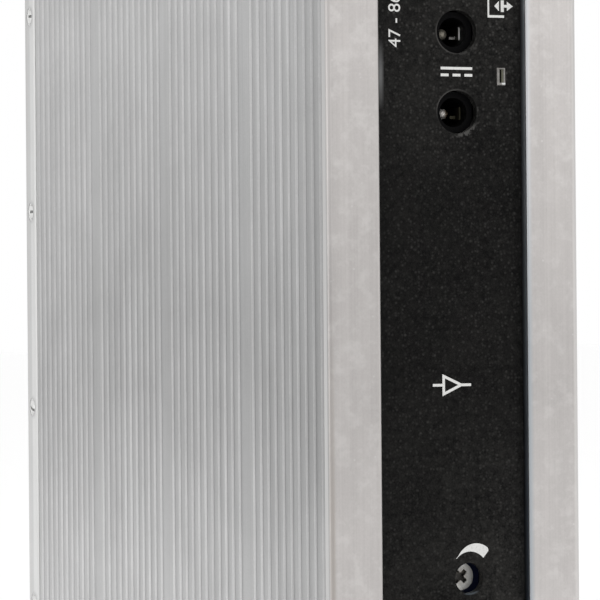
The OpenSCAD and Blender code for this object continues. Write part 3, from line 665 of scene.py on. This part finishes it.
def resin_finish(name, colour, roughness, specular=0.25):
    """Cast resin of the status light, hazy and glossy."""
    g = Graph(name + "_finish")
    haze = g.noise(900.0)
    g.surface(
        base_color=g.blend(g.spread(haze, GRAINY), scaled(colour, 0.75), scaled(colour, 1.2)),
        roughness=g.spread(haze, GRAINY, roughness - 0.06, roughness + 0.08),
        normal=g.bump(haze, distance=0.01 * MM, strength=0.4),
        specular_ior_level=specular,
    )
    return g.material


FINISHES = {
    "extruded_aluminium": extruded_finish(),
    "sheet_aluminium": sheet_finish(),
    "panel_black": panel_finish(),
    "zinc_steel": plated_finish("zinc_steel", (0.55, 0.55, 0.54), roughness=0.32),
    "tinned_steel": plated_finish("tinned_steel", (0.58, 0.58, 0.57), roughness=0.34),
    "nickel_plate": plated_finish("nickel_plate", (0.60, 0.575, 0.53), roughness=0.24),
    "contact_brass": plated_finish("contact_brass", (0.60, 0.46, 0.21), roughness=0.26),
    "black_plastic": moulded_finish(
        "black_plastic", (0.0035, 0.0035, 0.0038), roughness=0.55, specular=0.04),
    "cream_plastic": rotor_finish(),
    "blue_plastic": moulded_finish("blue_plastic", (0.012, 0.017, 0.050), roughness=0.4, specular=0.25),
    "white_plastic": moulded_finish("white_plastic", (0.70, 0.69, 0.66), roughness=0.42),
    "led_lens": resin_finish("led_lens", (0.26, 0.25, 0.235), roughness=0.3),
    "board_laminate": board_finish(),
    "ferrite": moulded_finish(
        "ferrite", (0.03, 0.03, 0.031), roughness=0.62, specular=0.4, grain=2600.0, depth=0.04),
    "capacitor_sleeve": moulded_finish("capacitor_sleeve", (0.017, 0.020, 0.031), roughness=0.33),
    "thermal_pad": moulded_finish(
        "thermal_pad", (0.31, 0.32, 0.33), roughness=0.75, specular=0.3, grain=1200.0, depth=0.05),
    "ceramic_track": moulded_finish("ceramic_track", (0.70, 0.69, 0.66), roughness=0.55),
}
INK = ink_finish()
SCREW_ZINC = screw_finish()
PIN_METAL = pin_finish()
LEAF_METAL = leaf_finish()
LED_CORE = resin_finish("led_core", (0.008, 0.008, 0.006), roughness=0.6, specular=0.03)
LED_BODY = resin_finish("led_body", (0.12, 0.12, 0.085), roughness=0.35)
# Pale resin film that paints a glint on the status light
LED_GLINT = resin_finish("led_painted_glint", (0.80, 0.81, 0.80), roughness=0.2)


def dress_nodes():
    """Gives each carried-over solid the finish of its record slot, or its own where it differs."""
    own = {"dc_centre_pins": PIN_METAL, "dc_spring_contacts": LEAF_METAL, "rear_cover_screws": SCREW_ZINC}
    for entry in frame["record"]["subparts"]:
        name = entry["node"]
        slots = frame["nodes"][name].data.materials
        slots.clear()
        slots.append(own.get(name, FINISHES[entry["material_slot"]]))


def soften(width, *nodes):
    """Rounds the hard edges of solids, so that they catch the light."""
    for node in nodes:
        bevel = frame["nodes"][node].modifiers.new("soft_edges", "BEVEL")
        bevel.width = width
        bevel.segments = 2
        bevel.limit_method = "ANGLE"
        bevel.angle_limit = math.radians(40.0)
        bevel.harden_normals = True


def shown(name, data):
    """An object in the scene that holds a mesh, light, camera or curve."""
    thing = bpy.data.objects.new(name, data)
    bpy.context.scene.collection.objects.link(thing)
    return thing


def piece(name, mesh, finish):
    """Makes one object of a mesh and lets it ride on the housing."""
    data = bpy.data.meshes.new(name)
    bmesh.ops.recalc_face_normals(mesh, faces=mesh.faces)
    mesh.to_mesh(data)
    mesh.free()
    data.materials.append(finish)
    thing = shown(name, data)
    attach(thing, BODY)
    return thing


def ring_walls(mesh, rings):
    """Joins rings of equally many points with walls."""
    for low, high in zip(rings, rings[1:]):
        for i in range(len(low)):
            j = (i + 1) % len(low)
            mesh.faces.new((low[i], low[j], high[j], high[i]))


def outline_ring(mesh, outline, y):
    return [mesh.verts.new((x, y, z)) for x, z in outline]


def slab(mesh, outline, y_front, y_back):
    """A flat plate across Y, from an outline of x, z points."""
    front = outline_ring(mesh, outline, y_front)
    back = outline_ring(mesh, outline, y_back)
    mesh.faces.new(front)
    mesh.faces.new(back[::-1])
    ring_walls(mesh, [front, back])


def turned_ring(mesh, radius_at, x, z, y, steps):
    """A ring about an axis along Y, with a radius for each angle."""
    ring = []
    for i in range(steps):
        a = 2 * math.pi * i / steps
        r = radius_at(a)
        ring.append(mesh.verts.new((x + r * math.cos(a), y, z + r * math.sin(a))))
    return ring


def plain(radius):
    return lambda a: radius


def rectangle(x, z, width, height):
    return [
        (x - width / 2, z - height / 2), (x + width / 2, z - height / 2),
        (x + width / 2, z + height / 2), (x - width / 2, z + height / 2),
    ]


def printed(name, outlines):
    """Marks printed on the front panel, each a thin film of ink, from outlines in millimetres."""
    mesh = bmesh.new()
    for outline in outlines:
        slab(mesh, [(x * MM, z * MM) for x, z in outline], PANEL_Y - INK_T, PANEL_Y + INK_T / 4)
    piece(name, mesh, INK)


def level_wedge():
    """A curved wedge over the trimmer that widens the way the level rises, to a rounded corner."""
    x, z = TRIMMER.x / MM, TRIMMER.z / MM + 0.25
    start, end, steps = 126.5, 50.5, 28
    inner_base, inner_rise, inner_bulge = 5.1, 0.26, 0.42
    outer_base, thin, thick = 5.05, 0.12, 2.78
    full_at, swell_power = 0.85, 1.2
    corner_at, corner_cut = 0.92, 0.5
    inner, outer = [], []
    for i in range(steps + 1):
        share = i / steps
        a = math.radians(start + (end - start) * share)
        swell = math.sin(math.pi / 2 * min(1.0, share / full_at)) ** swell_power
        corner = max(0.0, (share - corner_at) / (1.0 - corner_at)) ** 2
        inner_r = inner_base + inner_rise * share + inner_bulge * math.sin(math.pi * share)
        outer_r = max(inner_r + thin, outer_base + thick * swell - corner_cut * corner)
        inner.append((x + inner_r * math.cos(a), z + inner_r * math.sin(a)))
        outer.append((x + outer_r * math.cos(a), z + outer_r * math.sin(a)))
    printed("print_level_wedge", [inner + outer[::-1]])


def direct_current_mark():
    """A bar over three dashes, between the two power sockets."""
    x, z = DC_X / MM - 0.1, DC_MIDDLE_Z / MM
    width, line, gap = 7.6, 0.6, 1.5
    dash = width / 4
    bars = [rectangle(x, z + gap / 2, width, line)]
    for side in (-1, 0, 1):
        bars.append(rectangle(x + side * (width - dash) / 2, z - gap / 2, dash, line))
    printed("print_direct_current", bars)


def amplifier_mark():
    """An outlined triangle with a lead at each end, the general sign for an amplifier."""
    x, z = 0.7, 91.5
    length, height, line, lead = 5.2, 4.9, 0.6, 2.3
    left, right = x - length / 2, x + length / 2
    slope = height / 2 / length
    inset = line * math.hypot(1.0, slope)
    inner_left = left + line
    inner_half = height / 2 - slope * line - inset
    inner_right = inner_left + inner_half / slope
    outer = [(left, z + height / 2), (left, z - height / 2), (right, z)]
    inner = [(inner_left, z + inner_half), (inner_left, z - inner_half), (inner_right, z)]
    sides = [[outer[i], outer[(i + 1) % 3], inner[(i + 1) % 3], inner[i]] for i in range(3)]
    start, stop = right - line / 2 / slope, right + lead - line
    top, bottom = z + line / 2, z - line / 2
    left_lead = rectangle(left - lead / 2, z, lead, line)
    right_lead = [(start, top), (right, z), (start, bottom), (stop, bottom), (stop, top)]
    printed("print_amplifier", sides + [left_lead, right_lead])


def output_mark():
    """A bracket, with an arrow head that points into it and an arrow that leaves it from a bar."""
    x, z = 12.35, 175.8
    height, foot, line, upright = 5.4, 4.0, 0.55, 0.40
    left = x - 2.6
    back, end = left + upright, left + foot
    top, bottom = z + height / 2, z - height / 2
    bracket = [
        (end, top), (left, top), (left, bottom), (end, bottom),
        (end, bottom + line), (back, bottom + line), (back, top - line), (end, top - line),
    ]
    level = z - 0.1
    inward_base, inward_tip = x + 0.17, x - 0.97
    bar, shaft, neck, tip = x + 0.62, x + 1.37, x + 2.1, x + 3.55
    half_inward, half_bar, half_head, half_shaft = 1.15, 1.3, 1.05, 0.3
    inward = [(inward_base, level + half_inward), (inward_tip, level), (inward_base, level - half_inward)]
    outward = [
        (bar, level + half_bar), (bar, level - half_bar), (shaft, level - half_bar),
        (shaft, level - half_shaft), (neck, level - half_shaft), (neck, level - half_head), (tip, level),
        (neck, level + half_head), (neck, level + half_shaft), (shaft, level + half_shaft),
        (shaft, level + half_bar),
    ]
    printed("print_output", [bracket, inward, outward])


def band_numbers():
    """Plain numbers of the signal band, read upwards along the left of the panel."""
    letters = bpy.data.curves.new("band_numbers", "FONT")
    letters.body = "47 - 862"
    letters.size = 4.1 * MM
    letters.extrude = INK_T / 2
    source = shown("band_numbers", letters)
    shaped = source.evaluated_get(bpy.context.evaluated_depsgraph_get())
    mesh = bmesh.new()
    mesh.from_mesh(bpy.data.meshes.new_from_object(shaped))
    bpy.data.objects.remove(source)
    x, z = -11.3 * MM, 166.0 * MM
    for v in mesh.verts:
        v.co = Vector((x - v.co.y, PANEL_Y - INK_T / 2 - v.co.z, z + v.co.x))
    piece("print_band_numbers", mesh, INK)


def light_plate(name, finish, outline, y_front, y_back):
    """One flat piece of the status light."""
    mesh = bmesh.new()
    slab(mesh, outline, y_front, y_back)
    piece(name, mesh, finish)


def status_light():
    """Rectangular lens with a pale rim round a dark slit and body, on its wider base, and a painted glint
    low on its front.
    """
    x, z = centre("status_led").x, centre("status_led").z
    front, back = LED_LO.y, LED_HI.y
    base_y = back - 1.4 * MM
    left_wall, right_wall, top_wall, foot = 0.60 * MM, 0.50 * MM, 0.36 * MM, 0.62 * MM
    recess, edge, slit_w = 0.5 * MM, 0.12 * MM, 0.48 * MM
    window_w = LENS_W - left_wall - right_wall
    window_h = LENS_H - top_wall - foot
    window_x = x + (left_wall - right_wall) / 2
    window_z = z + (foot - top_wall) / 2
    base = rectangle(x, z, LED_HI.x - LED_LO.x, LED_HI.z - LED_LO.z)
    mesh = bmesh.new()
    rim = [
        outline_ring(mesh, rectangle(window_x, window_z, window_w, window_h), front + recess),
        outline_ring(mesh, rectangle(window_x, window_z, window_w + edge, window_h + edge), front),
        outline_ring(mesh, rectangle(x, z, LENS_W - 2 * edge, LENS_H - 2 * edge), front),
        outline_ring(mesh, rectangle(x, z, LENS_W, LENS_H), front + edge),
        outline_ring(mesh, rectangle(x, z, LENS_W, LENS_H), base_y),
        outline_ring(mesh, base, base_y),
        outline_ring(mesh, base, back),
    ]
    ring_walls(mesh, rim)
    mesh.faces.new(rim[0])
    mesh.faces.new(rim[-1])
    lens = piece("status_light_lens", mesh, FINISHES["led_lens"])
    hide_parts("status_led")
    floor_y = front + recess
    slit_x = window_x - (window_w - slit_w) / 2
    slit = rectangle(slit_x, window_z, slit_w, window_h)
    light_plate("status_light_slit", LED_CORE, slit, front + 0.8 * recess, floor_y)
    body = rectangle(window_x + slit_w / 2, window_z, window_w - slit_w, window_h)
    light_plate("status_light_body", LED_BODY, body, front + 0.2 * recess, floor_y)
    # A painted glint: a thin pale film low on the front of the lens, standing in for a highlight
    glint_w, glint_h = 0.85 * MM, 0.4 * MM
    glint = rectangle(x + right_wall, z - LENS_H / 2 + (foot + edge) / 2, glint_w, glint_h)
    light_plate("status_light_painted_glint", LED_GLINT, glint, front - INK_T, front + INK_T)


def f_connector(node):
    """Barrel with a true helical thread, a lead-in and a bore, on its block behind the panel."""
    lo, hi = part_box(node)
    x, z = DC_X, centre(node).z
    crest_r, depth, pitch = 4.76 * MM, 0.42 * MM, 0.794 * MM
    neck_r, bore_r, lead_in, mouth = 4.4 * MM, 3.2 * MM, 0.5 * MM, 0.2 * MM
    flank_foot, flank_share = 0.82, 0.64
    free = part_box("f_nuts")[0].y - lo.y
    steps, rows_per_turn = 64, 8
    rows = int(free / pitch * rows_per_turn)
    mesh = bmesh.new()

    def thread(along):
        chamfer = crest_r - lead_in * max(0.0, 1.0 - along / lead_in)

        def radius(a):
            phase = (along / pitch + a / (2 * math.pi)) % 1.0
            flank = min(1.0, max(0.0, (flank_foot - abs(2.0 * phase - 1.0)) / flank_share))
            return min(chamfer, crest_r - depth * (1.0 - flank))
        return radius

    profile = [(plain(bore_r), hi.y), (plain(bore_r), lo.y + mouth), (plain(bore_r + mouth), lo.y)]
    for row in range(rows + 1):
        along = free * row / rows
        profile.append((thread(along), lo.y + along))
    profile += [(plain(neck_r), lo.y + free), (plain(neck_r), PANEL_BACK)]
    ring_walls(mesh, [turned_ring(mesh, radius_at, x, z, y, steps) for radius_at, y in profile])
    slab(mesh, rectangle((lo.x + hi.x) / 2, z, hi.x - lo.x, hi.z - lo.z), PANEL_BACK, hi.y)
    body = piece(node + "_threaded", mesh, FINISHES["nickel_plate"])
    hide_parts(node)


def f_nuts():
    """Hexagon nuts with chamfered corners."""
    lo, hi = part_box("f_nuts")
    flat_r, bore_r = 5.5 * MM, 4.45 * MM
    steps, chamfer_rows, chamfer = 96, 5, 0.5 * MM
    face_r, chamfer_slope = 0.97 * flat_r, math.sqrt(3)
    mesh = bmesh.new()

    def hexagon(limit):
        def radius(a):
            turn = (a + math.pi / 6) % (math.pi / 3) - math.pi / 6
            return min(limit, flat_r / math.cos(turn))
        return radius

    profile = [(plain(bore_r), hi.y), (plain(bore_r), lo.y)]
    for row in range(chamfer_rows + 1):
        along = chamfer * row / chamfer_rows
        profile.append((hexagon(face_r + along * chamfer_slope), lo.y + along))
    profile += [(hexagon(2 * flat_r), hi.y), (plain(bore_r), hi.y)]
    for node in ("f_connector_input", "f_connector_output"):
        z = centre(node).z
        ring_walls(mesh, [turned_ring(mesh, radius_at, DC_X, z, y, steps) for radius_at, y in profile])
    nuts = piece("f_nuts_chamfered", mesh, FINISHES["nickel_plate"])
    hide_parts("f_nuts")


def seen_rays(tree):
    """One where a camera, glossy or transmission ray arrives, and zero elsewhere."""
    path = tree.nodes.new("ShaderNodeLightPath").outputs
    value = path["Is Camera Ray"]
    for name in ("Is Glossy Ray", "Is Transmission Ray"):
        either = tree.nodes.new("ShaderNodeMath")
        either.operation = "MAXIMUM"
        tree.links.new(value, either.inputs[0])
        tree.links.new(path[name], either.inputs[1])
        value = either.outputs[0]
    return value


def floor():
    """Pale floor, lifted to white where no shadow falls."""
    reach, drop, lift = 6.0, 0.2 * MM, 0.22
    dull, pale = (0.78, 0.78, 0.78), (0.82, 0.82, 0.82)
    mesh = bmesh.new()
    bmesh.ops.create_grid(mesh, x_segments=8, y_segments=8, size=reach)
    data = bpy.data.meshes.new("floor")
    mesh.to_mesh(data)
    mesh.free()
    thing = shown("floor", data)
    thing.location = (0.0, 0.0, cad_box[0].z - drop)
    g = Graph("floor_finish")
    g.surface(
        base_color=g.blend(g.noise(60.0, roughness=0.5), dull, pale),
        roughness=0.8,
        emission_color=(*WHITE, 1.0),
        emission_strength=g.times(seen_rays(g.tree), lift),
    )
    data.materials.append(g.material)


def surroundings(level):
    """White surroundings for what the camera and the metal see, and even soft light for the rest."""
    world = bpy.data.worlds.new("studio")
    bpy.context.scene.world = world
    world.use_nodes = True
    tree = world.node_tree
    light = tree.nodes["Background"]
    light.inputs["Color"].default_value = (*WHITE, 1.0)
    strength = tree.nodes.new("ShaderNodeMapRange")
    tree.links.new(seen_rays(tree), strength.inputs["Value"])
    strength.inputs["To Min"].default_value = level
    strength.inputs["To Max"].default_value = 1.0
    tree.links.new(strength.outputs[0], light.inputs["Strength"])


def lamp(name, at, size, glow, colour=WHITE):
    """A soft box that points at the object, with its glow given as radiance."""
    data = bpy.data.lights.new(name, "AREA")
    data.shape = "SQUARE"
    data.size = size
    data.energy = glow * math.pi * size * size
    data.color = colour
    thing = shown(name, data)
    thing.location = at
    aim = Vector((0.0, 0.0, TOP_Z / 2)) - Vector(at)
    thing.rotation_euler = aim.to_track_quat("-Z", "Y").to_euler()


def camera():
    data = bpy.data.cameras.new("photo_camera")
    data.sensor_width = SENSOR
    data.lens = LENS
    data.clip_start = 0.05
    data.clip_end = 30.0
    thing = shown("photo_camera", data)
    thing.location = CAMERA_AT
    thing.rotation_euler = (math.radians(90.0), CAMERA_ROLL, -CAMERA_TURN)
    bpy.context.scene.camera = thing


dress_nodes()
soften(BROAD_EDGE, "top_end_plate", "bottom_end_plate", "rear_cover", "rear_inserts")
soften(BROAD_EDGE, "dc_socket_upper", "dc_socket_lower")
soften(FINE_EDGE, "front_panel", "trimmer_rotor", "trimmer_housing")
soften(SCREW_EDGE, "rear_cover_screws", "end_plate_screws", "f_washers")
for connector in ("f_connector_input", "f_connector_output"):
    f_connector(connector)
f_nuts()
status_light()
level_wedge()
direct_current_mark()
amplifier_mark()
output_mark()
band_numbers()

floor()
surroundings(level=0.92)
lamp("left_box", at=(-0.9, -0.14, 0.03), size=0.5, glow=1.4)
lamp("front_box", at=(0.5, -1.25, 0.30), size=0.9, glow=0.45, colour=(1.0, 0.98, 0.96))
lamp("top_box", at=(0.0, 0.1, 1.3), size=0.9, glow=0.45)
camera()
bpy.context.scene.view_settings.view_transform = "Standard"
